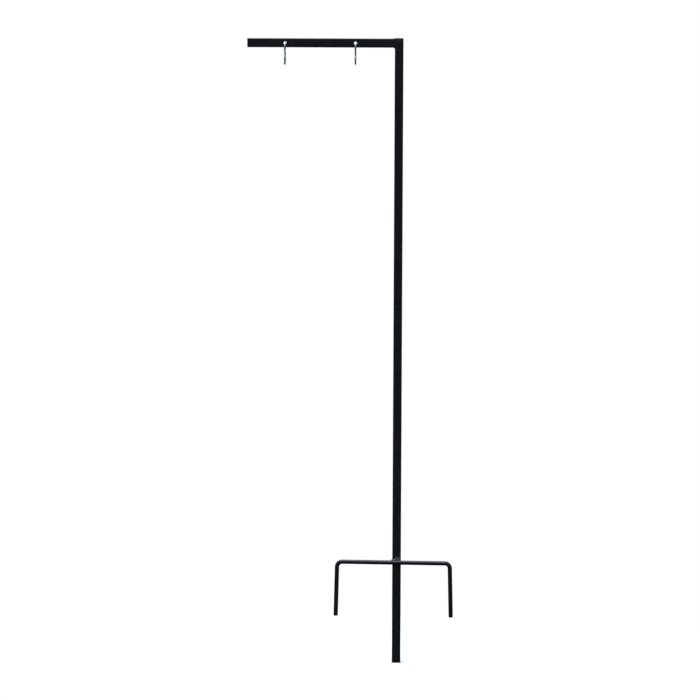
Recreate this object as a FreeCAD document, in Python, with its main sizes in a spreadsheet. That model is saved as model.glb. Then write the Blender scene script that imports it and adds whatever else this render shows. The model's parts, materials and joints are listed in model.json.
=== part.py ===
"""Welded garden pole for bird feeders: a square upright, a square top arm with two S-hooks, a step-in fork.

Millimetres, +Z up.  The origin is on the pole's axis at its cut lower end.  The arm runs towards -X, and
the step bar crosses the pole's front face, which looks towards -Y.
"""
import FreeCAD, Part
import math
import os

import Sketcher
from FreeCAD import Placement, Rotation, Vector

doc = FreeCAD.newDocument("FeederPole")

# ------------------------------------------------------------------------------------------------------
# Driving dimensions
# ------------------------------------------------------------------------------------------------------
DIMENSIONS = [
    ("tube_width", 25.4, "outside width of the square tube, pole and arm"),
    ("tube_wall", 1.65, "wall of the square tube"),
    ("tube_corner", 2.8, "outside corner radius of the square tube"),
    ("pole_length", 1828.8, "pole, cut end to cut end"),
    ("arm_length", 430.2, "arm tube, from the pole's side to its free end"),
    ("outer_hook_inset", 108.8, "outer hook hole, from the arm tube's free end"),
    ("hook_spacing", 206.4, "distance between the two hook holes"),
    ("plug_lip", 1.2, "thickness of a plug's flat lip"),
    ("plug_lip_round", 0.5, "rounding of the lip's outer edge"),
    ("plug_depth", 15.0, "how far a plug reaches into its tube"),
    ("plug_core_gap", 1.0, "gap between a plug's core and the tube's inner wall"),
    ("plug_rib_gap", 0.1, "gap between a plug's ribs and the tube's inner wall"),
    ("plug_skin", 1.6, "wall of a plug's hollow core"),
    ("rib_count", 4, "ribs on a plug"),
    ("rib_thickness", 1.1, "thickness of one rib"),
    ("rib_start", 1.9, "from the lip's seat to the first rib"),
    ("rib_pitch", 3.4, "distance between ribs"),
    ("wire_dia", 4.76, "diameter of the S-hook wire"),
    ("loop_room", 1.7, "air between the tube's side and the inside of a hook's upper loop"),
    ("hang_gap", 0.2, "air left between the wire and the lip of its hole"),
    ("hole_play", 0.2, "extra height of a hook hole over what the wire needs"),
    ("hook_sweep", 290.0, "arc of each hook loop, from the middle of the S to the tip, in degrees"),
    ("hook_tip_round", 1.2, "rounding of the hook's cut tips"),
    ("bar_dia", 12.7, "diameter of the step bar"),
    ("bar_height", 295.3, "step bar's centreline above the pole's lower end"),
    ("reach_left", 174.2, "from the pole's axis to the left leg's axis, at the bar"),
    ("reach_right", 156.0, "from the pole's axis to the right leg's axis, at the bar"),
    ("leg_drop", 158.8, "length of a leg's axis below the bar's centreline"),
    ("splay_left", 0.75, "outward lean of the left leg from square to the bar, in degrees"),
    ("splay_right", 1.95, "outward lean of the right leg from square to the bar, in degrees"),
    ("bend_radius", 15.0, "centreline radius of the two bends"),
    ("leg_chamfer", 1.6, "chamfer round each leg's cut end"),
    ("bar_tilt", 0.6, "lean of the whole step bar, left side high, in degrees"),
    ("seam_crown", 0.6, "height of the dressed weld over the tubes' flush faces"),
    ("seam_arm_land", 7.5, "how far the dressed weld spreads over the arm"),
    ("seam_pole_land", 4.5, "how far the dressed weld spreads over the pole's flat"),
    ("top_crown", 0.9, "height of the weld across the arm's top face"),
    ("corner_leg", 4.5, "leg of the fillet weld under the arm"),
    ("corner_bulge", 0.5, "outward bulge of the fillet weld under the arm"),
    ("bead_overrun", 3.8, "how far the step bar's welds run past the pole's left side"),
    ("bead_shortfall", 1.7, "how far the step bar's welds stop short of the pole's right side"),
    ("bead_root", 30.0, "where a bead starts on the bar's round, from the contact line, in degrees"),
    ("upper_bead_wrap", 104.0, "where the upper bead ends on the bar's round, in degrees"),
    ("upper_bead_rise", 5.0, "how far the upper bead climbs the pole above the bar's top"),
    ("lower_bead_wrap", 66.0, "where the lower bead ends on the bar's round, in degrees"),
    ("lower_bead_rise", 0.6, "how far the lower bead reaches past the bar's underside"),
    ("bead_bulge", 1.0, "outward bulge of the step bar's beads"),
]

sheet = doc.addObject("Spreadsheet::Sheet", "Sizes")
for row, (alias, number, meaning) in enumerate(DIMENSIONS, start=1):
    sheet.set(f"A{row}", meaning)
    sheet.set(f"B{row}", str(number))
    sheet.setAlias(f"B{row}", alias)
doc.recompute()

# Formulas that several pieces share, written in the sheet's own names.
HALF_TUBE = "(Sizes.tube_width / 2)"
BORE_WIDTH = "(Sizes.tube_width - 2 * Sizes.tube_wall)"
BORE_CORNER = "(Sizes.tube_corner - Sizes.tube_wall)"
HALF_FLAT = "(Sizes.tube_width / 2 - Sizes.tube_corner)"
ARM_HEIGHT = f"(Sizes.pole_length - {HALF_TUBE})"
OUTER_HOOK_X = f"(Sizes.outer_hook_inset - Sizes.arm_length - {HALF_TUBE})"
INNER_HOOK_X = f"({OUTER_HOOK_X} + Sizes.hook_spacing)"
WIRE_RADIUS = "(Sizes.wire_dia / 2)"
LOOP_RADIUS = f"({HALF_TUBE} + Sizes.loop_room + {WIRE_RADIUS})"
# Heights over the loop's centre where the wire needs its hole to start and to end.
HOLE_SILL = f"sqrt(({LOOP_RADIUS} - {WIRE_RADIUS} - Sizes.hang_gap)^2 - {HALF_TUBE}^2)"
HOLE_HEAD = f"sqrt(({LOOP_RADIUS} + {WIRE_RADIUS} + Sizes.hang_gap)^2 - ({BORE_WIDTH} / 2)^2)"
HOLE_RADIUS = f"(({HOLE_HEAD} - {HOLE_SILL} + Sizes.hole_play) / 2)"
LOOP_HEIGHT = f"({ARM_HEIGHT} - {HOLE_RADIUS} - {HOLE_SILL})"
BAR_RADIUS = "(Sizes.bar_dia / 2)"


def value(formula):
    """The number that a formula of the sheet's names gives."""
    return float(sheet.evalExpression(formula))


# ------------------------------------------------------------------------------------------------------
# Helpers for bodies and sketches
# ------------------------------------------------------------------------------------------------------
ORIGIN_POINT = (-1, 1)


def new_body(name):
    """A named PartDesign body, whose label becomes its file's name."""
    body = doc.addObject("PartDesign::Body", name)
    body.Label = name
    return body


def place(piece, x, y, z, rotation=Rotation()):
    """Puts a piece at a point given by three formulas."""
    piece.Placement = Placement(Vector(value(x), value(y), value(z)), rotation)
    for axis, formula in zip("xyz", (x, y, z)):
        piece.setExpression(f"Placement.Base.{axis}", formula)


def origin_part(body, role):
    """One of the body's own origin planes or axes."""
    return next(item for item in body.Origin.OriginFeatures if item.Role == role)


def new_sketch(body, name, plane, lift="0"):
    """A sketch on one of the body's origin planes, lifted off it along the plane's normal."""
    sketch = body.newObject("Sketcher::SketchObject", name)
    sketch.AttachmentSupport = [(origin_part(body, plane), "")]
    sketch.MapMode = "FlatFace"
    sketch.AttachmentOffset = Placement(Vector(0, 0, value(lift)), Rotation())
    sketch.setExpression("AttachmentOffset.Base.z", lift)
    return sketch


def hold(sketch, name, kind, *where, size):
    """Adds one sized constraint and ties it to its formula."""
    index = sketch.addConstraint(Sketcher.Constraint(kind, *where, value(size)))
    sketch.renameConstraint(index, name)
    sketch.setExpression(f"Constraints.{name}", size)


def draw_square(sketch, name, width, corner):
    """A square with round corners about the sketch's origin: four sides and four quarter circles."""
    radius = value(corner)
    half = value(width) / 2
    flat = half - radius
    first = sketch.GeometryCount
    for quarter in range(4):
        start = quarter * math.pi / 2
        out = Vector(round(math.cos(start)), round(math.sin(start)), 0)
        along = Vector(-out.y, out.x, 0)
        side = Part.LineSegment(out * half - along * flat, out * half + along * flat)
        round_centre = out * flat + along * flat
        corner_circle = Part.Circle(round_centre, Vector(0, 0, 1), radius)
        sketch.addGeometry(side, False)
        sketch.addGeometry(Part.ArcOfCircle(corner_circle, start, start + math.pi / 2), False)
    sides = [first + 2 * quarter for quarter in range(4)]
    arcs = [side + 1 for side in sides]
    for quarter in range(4):
        following = sides[(quarter + 1) % 4]
        sketch.addConstraint(Sketcher.Constraint("Tangent", sides[quarter], 2, arcs[quarter], 1))
        sketch.addConstraint(Sketcher.Constraint("Tangent", arcs[quarter], 2, following, 1))
        direction = "Vertical" if quarter % 2 == 0 else "Horizontal"
        sketch.addConstraint(Sketcher.Constraint(direction, sides[quarter]))
    for arc in arcs[1:]:
        sketch.addConstraint(Sketcher.Constraint("Equal", arcs[0], arc))
    sketch.addConstraint(Sketcher.Constraint("Symmetric", arcs[0], 3, arcs[2], 3, *ORIGIN_POINT))
    hold(sketch, f"{name}_corner", "Radius", arcs[0], size=corner)
    hold(sketch, f"{name}_width", "DistanceX", sides[2], 1, sides[0], 1, size=width)
    hold(sketch, f"{name}_height", "DistanceY", sides[3], 1, sides[1], 1, size=width)


def draw_circle(sketch, name, across, up, radius):
    """A circle whose centre stands at two formulas from the sketch's origin."""
    centre = Vector(value(across), value(up), 0)
    circle = sketch.addGeometry(Part.Circle(centre, Vector(0, 0, 1), value(radius)), False)
    hold(sketch, f"{name}_radius", "Radius", circle, size=radius)
    for kind, axis, formula in (("DistanceX", "across", across), ("DistanceY", "up", up)):
        hold(sketch, f"{name}_{axis}", kind, *ORIGIN_POINT, circle, 3, size=formula)


def draw_profile(sketch, corners, bulges):
    """A closed outline through named corners (name, across, up), given as formulas.

    bulges maps a corner's name to the radius formula and the turn, +1 or -1, of the arc that leaves it
    for the next corner; the other stretches are straight.  A turn of +1 runs anticlockwise.
    """
    points = [Vector(value(across), value(up), 0) for _, across, up in corners]
    edges = []
    ends = []
    for index, (name, _, _) in enumerate(corners):
        start = points[index]
        finish = points[(index + 1) % len(points)]
        if name not in bulges:
            edges.append(sketch.addGeometry(Part.LineSegment(start, finish), False))
            ends.append((1, 2))
            continue
        radius, turn = value(bulges[name][0]), bulges[name][1]
        chord = finish - start
        depth = math.sqrt(radius**2 - (chord.Length / 2) ** 2)
        left = Vector(-chord.y, chord.x, 0).normalize()
        centre = (start + finish) / 2 + left * depth * turn
        angles = [math.atan2(point.y - centre.y, point.x - centre.x) for point in (start, finish)]
        if turn < 0:
            angles.reverse()
        circle = Part.Circle(centre, Vector(0, 0, 1), radius)
        edges.append(sketch.addGeometry(Part.ArcOfCircle(circle, angles[0], angles[1]), False))
        ends.append((1, 2) if turn > 0 else (2, 1))
    for index, (name, across, up) in enumerate(corners):
        edge, start_end = edges[index], ends[index][0]
        sketch.addConstraint(
            Sketcher.Constraint("Coincident", edges[index - 1], ends[index - 1][1], edge, start_end)
        )
        hold(sketch, f"{name}_across", "DistanceX", *ORIGIN_POINT, edge, start_end, size=across)
        hold(sketch, f"{name}_up", "DistanceY", *ORIGIN_POINT, edge, start_end, size=up)
        if name in bulges:
            hold(sketch, f"{name}_arc", "Radius", edge, size=bulges[name][0])


def pad(body, name, sketch, length, reverse=False, both_ways=False):
    """Adds material along a sketch's normal."""
    feature = body.newObject("PartDesign::Pad", name)
    feature.Profile = sketch
    feature.SideType = "Symmetric" if both_ways else "One side"
    feature.Reversed = reverse
    feature.Length = value(length)
    feature.setExpression("Length", length)
    return feature


def arc_radius(chord, bulge):
    """Formula for the radius of a shallow arc from its chord and its bulge."""
    return f"((({chord}) / 2)^2 + ({bulge})^2) / (2 * ({bulge}))"


# ------------------------------------------------------------------------------------------------------
# Square tubes
# ------------------------------------------------------------------------------------------------------
def make_tube(name, plane, length, reverse):
    """A square tube with round corners, its axis on the body's own axis."""
    body = new_body(name)
    section = new_sketch(body, f"{name}_section", plane)
    draw_square(section, "outside", "Sizes.tube_width", "Sizes.tube_corner")
    draw_square(section, "bore", BORE_WIDTH, BORE_CORNER)
    pad(body, f"{name}_length", section, length, reverse)
    return body


pole_tube = make_tube("pole_tube", "XY_Plane", "Sizes.pole_length", reverse=False)

# The arm stands against the pole's side, its top face level with the pole's cut upper end.
arm_tube = make_tube("arm_tube", "YZ_Plane", "Sizes.arm_length", reverse=True)
place(arm_tube, f"-{HALF_TUBE}", "0", ARM_HEIGHT)

# Two holes run through the arm from front to back at mid height, one for each hook.
holes = new_sketch(arm_tube, "hook_holes", "XZ_Plane")
draw_circle(holes, "outer", f"{OUTER_HOOK_X} + {HALF_TUBE}", "0", HOLE_RADIUS)
draw_circle(holes, "inner", f"{INNER_HOOK_X} + {HALF_TUBE}", "0", HOLE_RADIUS)
drilling = arm_tube.newObject("PartDesign::Pocket", "hook_hole_drilling")
drilling.Profile = holes
drilling.SideType = "Symmetric"
drilling.Type = "Length"
drilling.setExpression("Length", "2 * Sizes.tube_width")


# ------------------------------------------------------------------------------------------------------
# Ribbed plastic plugs for the open tube ends
# ------------------------------------------------------------------------------------------------------
def edges_at_height(shape, height):
    """Names of a shape's edges that lie flat at one height."""
    names = []
    for index, edge in enumerate(shape.Edges, start=1):
        box = edge.BoundBox
        if abs(box.ZMin - height) < 1e-6 and abs(box.ZMax - height) < 1e-6:
            names.append(f"Edge{index}")
    return names


def make_plug(name):
    """A plug whose lip seats on the tube's end at its own z = 0 and whose ribbed core hangs below."""
    body = new_body(name)
    lip_outline = new_sketch(body, f"{name}_lip_outline", "XY_Plane")
    draw_square(lip_outline, "lip", "Sizes.tube_width", "Sizes.tube_corner")
    lip = pad(body, f"{name}_lip", lip_outline, "Sizes.plug_lip")
    doc.recompute()
    soft_edge = body.newObject("PartDesign::Fillet", f"{name}_lip_edge")
    soft_edge.Base = (lip, edges_at_height(lip.Shape, value("Sizes.plug_lip")))
    soft_edge.setExpression("Radius", "Sizes.plug_lip_round")

    core_width = f"({BORE_WIDTH} - 2 * Sizes.plug_core_gap)"
    core_outline = new_sketch(body, f"{name}_core_outline", "XY_Plane")
    draw_square(core_outline, "core", core_width, BORE_CORNER)
    pad(body, f"{name}_core", core_outline, "Sizes.plug_depth", reverse=True)

    rib_outline = new_sketch(body, f"{name}_rib_outline", "XY_Plane", "-Sizes.rib_start")
    draw_square(rib_outline, "rib", f"{BORE_WIDTH} - 2 * Sizes.plug_rib_gap", BORE_CORNER)
    rib = pad(body, f"{name}_rib", rib_outline, "Sizes.rib_thickness", reverse=True)
    ribs = body.newObject("PartDesign::LinearPattern", f"{name}_ribs")
    ribs.Originals = [rib]
    ribs.Direction = (origin_part(body, "Z_Axis"), [""])
    ribs.Reversed = True
    ribs.Mode = "Extent"
    ribs.setExpression("Length", "(Sizes.rib_count - 1) * Sizes.rib_pitch")
    ribs.setExpression("Occurrences", "Sizes.rib_count")
    body.Tip = ribs

    hollow_outline = new_sketch(body, f"{name}_hollow_outline", "XY_Plane")
    hollow_width = f"{core_width} - 2 * Sizes.plug_skin"
    draw_square(hollow_outline, "hollow", hollow_width, BORE_CORNER)
    hollow = body.newObject("PartDesign::Pocket", f"{name}_hollow")
    hollow.Profile = hollow_outline
    hollow.SideType = "One side"
    hollow.Type = "Length"
    hollow.Reversed = False
    hollow.setExpression("Length", "Sizes.plug_depth")
    body.Tip = hollow
    return body


pole_top_plug = make_plug("pole_top_plug")
place(pole_top_plug, "0", "0", "Sizes.pole_length")

arm_end_plug = make_plug("arm_end_plug")
LIP_TOWARDS_ARM_END = Rotation(Vector(0, 1, 0), -90)
place(arm_end_plug, f"-{HALF_TUBE} - Sizes.arm_length", "0", ARM_HEIGHT, LIP_TOWARDS_ARM_END)


# ------------------------------------------------------------------------------------------------------
# S-hooks
# ------------------------------------------------------------------------------------------------------
def wire_end_edges(shape):
    """Names of the round edges that bound a wire's two flat cut ends."""
    flat_ends = [face for face in shape.Faces if isinstance(face.Surface, Part.Plane)]
    rims = [edge for face in flat_ends for edge in face.Edges]
    names = []
    for index, edge in enumerate(shape.Edges, start=1):
        if any(edge.isSame(rim) for rim in rims):
            names.append(f"Edge{index}")
    return names


def make_hook(name, x):
    """An S of two equal loops in the YZ plane; its own origin is the centre of the upper loop.

    Each loop turns the same wire section about its centre, away from the middle of the S: the upper loop
    runs round the front and over the top to a tip at the back, the lower loop round the back and the
    bottom to a tip at the front.
    """
    body = new_body(name)
    for loop, axis_drop in (("upper_loop", "0"), ("lower_loop", f"2 * {LOOP_RADIUS}")):
        section = new_sketch(body, f"{name}_{loop}_section", "XZ_Plane")
        draw_circle(section, "wire", "0", f"-{LOOP_RADIUS}", WIRE_RADIUS)
        reach = value(LOOP_RADIUS)
        height = -value(axis_drop)
        axis = sketch_axis(section, reach, height)
        hold(section, "axis_up", "DistanceY", *ORIGIN_POINT, axis, 1, size=f"-{axis_drop}")
        turn = body.newObject("PartDesign::Revolution", f"{name}_{loop}")
        turn.Profile = section
        turn.ReferenceAxis = (section, ["Axis0"])
        turn.Reversed = True
        turn.setExpression("Angle", "Sizes.hook_sweep")
    doc.recompute()
    tips = body.newObject("PartDesign::Fillet", f"{name}_tips")
    tips.Base = (turn, wire_end_edges(turn.Shape))
    tips.setExpression("Radius", "Sizes.hook_tip_round")
    place(body, x, "0", LOOP_HEIGHT)
    return body


def sketch_axis(sketch, reach, height):
    """A level construction line, to turn a section about."""
    line = Part.LineSegment(Vector(-reach, height, 0), Vector(reach, height, 0))
    axis = sketch.addGeometry(line, True)
    sketch.addConstraint(Sketcher.Constraint("Horizontal", axis))
    sketch.addConstraint(Sketcher.Constraint("DistanceX", axis, 1, axis, 2, 2 * reach))
    sketch.addConstraint(Sketcher.Constraint("DistanceX", *ORIGIN_POINT, axis, 1, -reach))
    return axis


s_hook_outer = make_hook("s_hook_outer", OUTER_HOOK_X)
s_hook_inner = make_hook("s_hook_inner", INNER_HOOK_X)


# ------------------------------------------------------------------------------------------------------
# Step bar: one round bar bent into a U, tangent to the pole's front face
# ------------------------------------------------------------------------------------------------------
BAR_PLACE = ("0", f"-{HALF_TUBE} - {BAR_RADIUS}", "Sizes.bar_height")
BAR_LEAN = Rotation(Vector(0, 1, 0), value("Sizes.bar_tilt"))


def rod(name, length, x, z, direction):
    """A straight stretch of the bar, starting at a point in the U's plane."""
    piece = doc.addObject("Part::Cylinder", name)
    piece.setExpression("Radius", BAR_RADIUS)
    piece.setExpression("Height", length)
    place(piece, x, "0", z, Rotation(Vector(0, 0, 1), direction))
    return piece


def bend_setback(splay):
    """From the corner where bar and leg would meet to where the bend starts."""
    return f"(Sizes.bend_radius * tan((90 - {splay}) / 2 * 1 deg))"


LEGS = (
    ("left", -1, "Sizes.reach_left", "Sizes.splay_left"),
    ("right", 1, "Sizes.reach_right", "Sizes.splay_right"),
)
bar_ends = {side: f"({reach} - {bend_setback(splay)})" for side, _, reach, splay in LEGS}
crossbar = rod("crossbar", " + ".join(bar_ends.values()), f"-{bar_ends['left']}", "0", Vector(1, 0, 0))
stretches = [crossbar]
for side, sign, reach, splay in LEGS:
    lean = math.radians(value(splay))
    bend = doc.addObject("Part::Torus", f"{side}_bend")
    bend.setExpression("Radius1", "Sizes.bend_radius")
    bend.setExpression("Radius2", BAR_RADIUS)
    bend.setExpression("Angle3", f"90 - {splay}")
    # The torus turns about the U's normal: from the leg up to the bar on the right, and from the bar
    # down to the leg on the left.
    start = value(splay) if sign > 0 else 90
    facing = Rotation(Vector(1, 0, 0), 90) * Rotation(Vector(0, 0, 1), start)
    place(bend, f"({sign}) * {bar_ends[side]}", "0", "-Sizes.bend_radius", facing)
    leg_x = f"({sign}) * ({reach} + {bend_setback(splay)} * sin({splay} * 1 deg))"
    leg_z = f"-{bend_setback(splay)} * cos({splay} * 1 deg)"
    leg_length = f"Sizes.leg_drop - {bend_setback(splay)}"
    leg = rod(f"{side}_leg", leg_length, leg_x, leg_z, Vector(sign * math.sin(lean), 0, -math.cos(lean)))
    stretches += [bend, leg]

bar_blank = doc.addObject("Part::MultiFuse", "bar_blank")
bar_blank.Shapes = stretches
bar_blank.Refine = True
doc.recompute()

step_bar = doc.addObject("Part::Chamfer", "step_bar")
step_bar.Label = "step_bar"
step_bar.Base = bar_blank
rim_size = value("Sizes.leg_chamfer")
step_bar.Edges = [
    (int(edge_name[4:]), rim_size, rim_size) for edge_name in wire_end_edges(bar_blank.Shape)
]
place(bar_blank, *BAR_PLACE, BAR_LEAN)


# ------------------------------------------------------------------------------------------------------
# Weld metal at the arm's seam
# ------------------------------------------------------------------------------------------------------
def make_seam_weld(name, rotation):
    """The dressed weld on a face where arm and pole are flush.

    It fills the groove between the arm's end and the pole's round corner, and stands over both faces in
    a low crown.  The body's own origin is on the pole's axis at the arm's mid height.
    """
    crown_width = f"Sizes.seam_arm_land + Sizes.tube_corner + Sizes.seam_pole_land"
    corners = [
        ("arm_foot", f"-{HALF_TUBE} - Sizes.seam_arm_land", f"-{HALF_TUBE}"),
        ("pole_foot", f"-{HALF_FLAT} + Sizes.seam_pole_land", f"-{HALF_TUBE}"),
        ("groove_lip", f"-{HALF_FLAT}", f"-{HALF_TUBE}"),
        ("groove_root", f"-{HALF_TUBE}", f"-{HALF_FLAT}"),
        ("arm_edge", f"-{HALF_TUBE}", f"-{HALF_TUBE}"),
    ]
    bulges = {
        "arm_foot": (arc_radius(crown_width, "Sizes.seam_crown"), 1),
        "groove_lip": ("Sizes.tube_corner", -1),
    }
    body = new_body(name)
    outline = new_sketch(body, f"{name}_outline", "XY_Plane")
    draw_profile(outline, corners, bulges)
    pad(body, f"{name}_bead", outline, f"2 * {HALF_FLAT}", both_ways=True)
    place(body, "0", "0", ARM_HEIGHT, rotation)
    return body


arm_joint_front_weld = make_seam_weld("arm_joint_front_weld", Rotation())
arm_joint_back_weld = make_seam_weld("arm_joint_back_weld", Rotation(Vector(1, 0, 0), 180))


def make_cross_weld(name, corners, bulges, z):
    """A bead that runs from front to back across the arm, drawn in the XZ plane."""
    body = new_body(name)
    outline = new_sketch(body, f"{name}_outline", "XZ_Plane")
    draw_profile(outline, corners, bulges)
    pad(body, f"{name}_bead", outline, f"2 * {HALF_FLAT}", both_ways=True)
    place(body, f"-{HALF_TUBE}", "0", z)
    return body


# Across the arm's top: a low bead that ends against the plug's lip.
top_land = "Sizes.seam_arm_land"
top_slope = f"sqrt({top_land}^2 + Sizes.top_crown^2)"
arm_joint_top_weld = make_cross_weld(
    "arm_joint_top_weld",
    [("foot", f"-{top_land}", "0"), ("seam", "0", "0"), ("crest", "0", "Sizes.top_crown")],
    {"crest": (arc_radius(top_slope, "Sizes.top_crown / 4"), 1)},
    "Sizes.pole_length",
)

# Under the arm: a fillet weld in the inside corner.
corner_slope = "Sizes.corner_leg * sqrt(2)"
arm_joint_bottom_weld = make_cross_weld(
    "arm_joint_bottom_weld",
    [("corner", "0", "0"), ("arm_foot", "-Sizes.corner_leg", "0"), ("pole_foot", "0", "-Sizes.corner_leg")],
    {"arm_foot": (arc_radius(corner_slope, "Sizes.corner_bulge"), 1)},
    "Sizes.pole_length - Sizes.tube_width",
)


# ------------------------------------------------------------------------------------------------------
# Weld beads between the step bar and the pole
# ------------------------------------------------------------------------------------------------------
def make_bar_weld(name, wrap, rise, up):
    """A bead in the groove over (up = 1) or under (up = -1) the bar, against the pole's front face.

    Drawn in the YZ plane about the bar's own axis: it starts off the contact line, follows the bar's
    round, and closes with a bulged outer face.
    """
    root_up = f"({up}) * {BAR_RADIUS} * sin(Sizes.bead_root * 1 deg)"
    toe_up = f"({up}) * {BAR_RADIUS} * sin({wrap} * 1 deg)"
    toe_across = f"{BAR_RADIUS} * cos({wrap} * 1 deg)"
    head_up = f"({up}) * ({BAR_RADIUS} + {rise})"
    face_slope = f"sqrt(({BAR_RADIUS} - {toe_across})^2 + ({head_up} - {toe_up})^2)"
    corners = [
        ("root", BAR_RADIUS, root_up),
        ("head", BAR_RADIUS, head_up),
        ("toe", toe_across, toe_up),
        ("bar_root", f"{BAR_RADIUS} * cos(Sizes.bead_root * 1 deg)", root_up),
    ]
    bulges = {
        "head": (arc_radius(face_slope, "Sizes.bead_bulge"), up),
        "toe": (BAR_RADIUS, -up),
    }
    body = new_body(name)
    left_end = f"({HALF_TUBE} + Sizes.bead_overrun)"
    right_end = f"({HALF_TUBE} - Sizes.bead_shortfall)"
    outline = new_sketch(body, f"{name}_outline", "YZ_Plane", f"-{left_end}")
    draw_profile(outline, corners, bulges)
    pad(body, f"{name}_bead", outline, f"{left_end} + {right_end}")
    place(body, *BAR_PLACE, BAR_LEAN)
    return body


step_bar_upper_weld = make_bar_weld(
    "step_bar_upper_weld", "Sizes.upper_bead_wrap", "Sizes.upper_bead_rise", 1
)
step_bar_lower_weld = make_bar_weld(
    "step_bar_lower_weld", "Sizes.lower_bead_wrap", "Sizes.lower_bead_rise", -1
)

# ------------------------------------------------------------------------------------------------------
# Check and write every piece
# ------------------------------------------------------------------------------------------------------
PIECES = [
    pole_tube,
    arm_tube,
    step_bar,
    pole_top_plug,
    arm_end_plug,
    s_hook_outer,
    s_hook_inner,
    arm_joint_front_weld,
    arm_joint_back_weld,
    arm_joint_top_weld,
    arm_joint_bottom_weld,
    step_bar_upper_weld,
    step_bar_lower_weld,
]

doc.recompute()
for item in doc.Objects:
    if "Invalid" in item.State or "Error" in item.State:
        raise RuntimeError(f"{item.Label} failed to build: {item.State}")
os.makedirs("parts", exist_ok=True)
for piece in PIECES:
    shape = piece.Shape
    if shape.isNull() or not shape.isValid() or len(shape.Solids) != 1:
        raise RuntimeError(f"{piece.Label} is not one valid solid")
for piece in PIECES:
    piece.Shape.exportStep(f"parts/{piece.Label}.step")
    box = piece.Shape.BoundBox
    print(
        f"{piece.Label:24s} x {box.XMin:8.2f} {box.XMax:8.2f}  y {box.YMin:7.2f} {box.YMax:7.2f}"
        f"  z {box.ZMin:8.2f} {box.ZMax:8.2f}  volume {piece.Shape.Volume:10.1f}"
    )
print(f"hook hole radius {value(HOLE_RADIUS):.3f}, loop radius {value(LOOP_RADIUS):.3f}")
print(f"hook axis height {value(LOOP_HEIGHT):.3f}, outer x {value(OUTER_HOOK_X):.2f}")
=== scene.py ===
import json
import math

import bmesh
import bpy
from mathutils import Matrix, Vector, noise


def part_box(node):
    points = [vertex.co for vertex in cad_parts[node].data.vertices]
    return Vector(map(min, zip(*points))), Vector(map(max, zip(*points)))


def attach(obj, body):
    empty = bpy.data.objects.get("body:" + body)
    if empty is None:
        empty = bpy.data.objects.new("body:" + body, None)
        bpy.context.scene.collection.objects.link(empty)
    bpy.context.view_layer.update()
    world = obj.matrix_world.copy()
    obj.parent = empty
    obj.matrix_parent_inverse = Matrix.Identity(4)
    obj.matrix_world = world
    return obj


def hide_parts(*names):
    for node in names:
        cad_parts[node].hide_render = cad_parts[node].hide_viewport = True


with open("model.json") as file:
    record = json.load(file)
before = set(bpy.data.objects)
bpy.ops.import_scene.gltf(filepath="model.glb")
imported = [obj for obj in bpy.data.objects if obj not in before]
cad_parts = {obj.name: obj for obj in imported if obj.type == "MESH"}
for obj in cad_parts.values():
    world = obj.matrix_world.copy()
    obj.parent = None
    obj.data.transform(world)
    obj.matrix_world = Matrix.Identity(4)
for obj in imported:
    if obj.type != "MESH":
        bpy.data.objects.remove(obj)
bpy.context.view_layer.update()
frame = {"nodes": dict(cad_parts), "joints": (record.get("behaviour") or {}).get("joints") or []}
scene = bpy.context.scene

# ------------------------------------------------------------------------------------------------------
# Camera: a long lens nine metres away, aimed at mid height between the pole and the arm's free end, so
# that the tubes stay straight and square.  It looks at the side that the step bar crosses.
# ------------------------------------------------------------------------------------------------------
CAMERA_DISTANCE = 9.0
CAMERA_SIDE = math.radians(0.8)
CAMERA_RISE = math.radians(1.7)
CAMERA_ROLL = math.radians(0.27)
VIEW_WIDTH = 2.0535
FILM_WIDTH = 36.0
FAR_CLIP = 100.0

pole_low, pole_high = (Vector(corner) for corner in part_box("pole_tube"))
aim = Vector((-0.1397, 0, 0.9178))
towards_camera = Vector(
    (
        math.sin(CAMERA_SIDE) * math.cos(CAMERA_RISE),
        -math.cos(CAMERA_SIDE) * math.cos(CAMERA_RISE),
        math.sin(CAMERA_RISE),
    )
)
camera_data = bpy.data.cameras.new("camera")
camera_data.sensor_width = FILM_WIDTH
camera_data.lens = FILM_WIDTH * CAMERA_DISTANCE / VIEW_WIDTH
camera_data.clip_end = FAR_CLIP
camera = bpy.data.objects.new("camera", camera_data)
camera.location = aim + towards_camera * CAMERA_DISTANCE
level_view = (-towards_camera).to_track_quat("-Z", "Y").to_matrix().to_4x4()
roll = Matrix.Rotation(CAMERA_ROLL, 4, "Z")
camera.matrix_world = Matrix.Translation(camera.location) @ level_view @ roll
scene.collection.objects.link(camera)
scene.camera = camera
scene.view_settings.view_transform = "Standard"

# ------------------------------------------------------------------------------------------------------
# Studio: a pale floor that the pole's foot stands on, which fades out at its rim, a white surround that
# lights the faces dimly, and one wide soft light overhead.
# ------------------------------------------------------------------------------------------------------
FLOOR_RADIUS = 1.6
FLOOR_DROP = 0.0004
FLOOR_TONE = (0.98, 0.94, 0.89, 1)
FLOOR_SIDES = 128
# The floor is opaque out to the first share of its radius, and gone at the second.
FLOOR_FADE = (0.35, 0.98)
# The surround's light runs from its level tone up to its high tone between these sines of height.
SKY_SPAN = (0.02, 0.62)
LEVEL_TONE = (0.060, 0.061, 0.063)
HIGH_TONE = (0.50, 0.63, 0.85)
LIGHT_TONE = (0.93, 0.96, 1.0)


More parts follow.
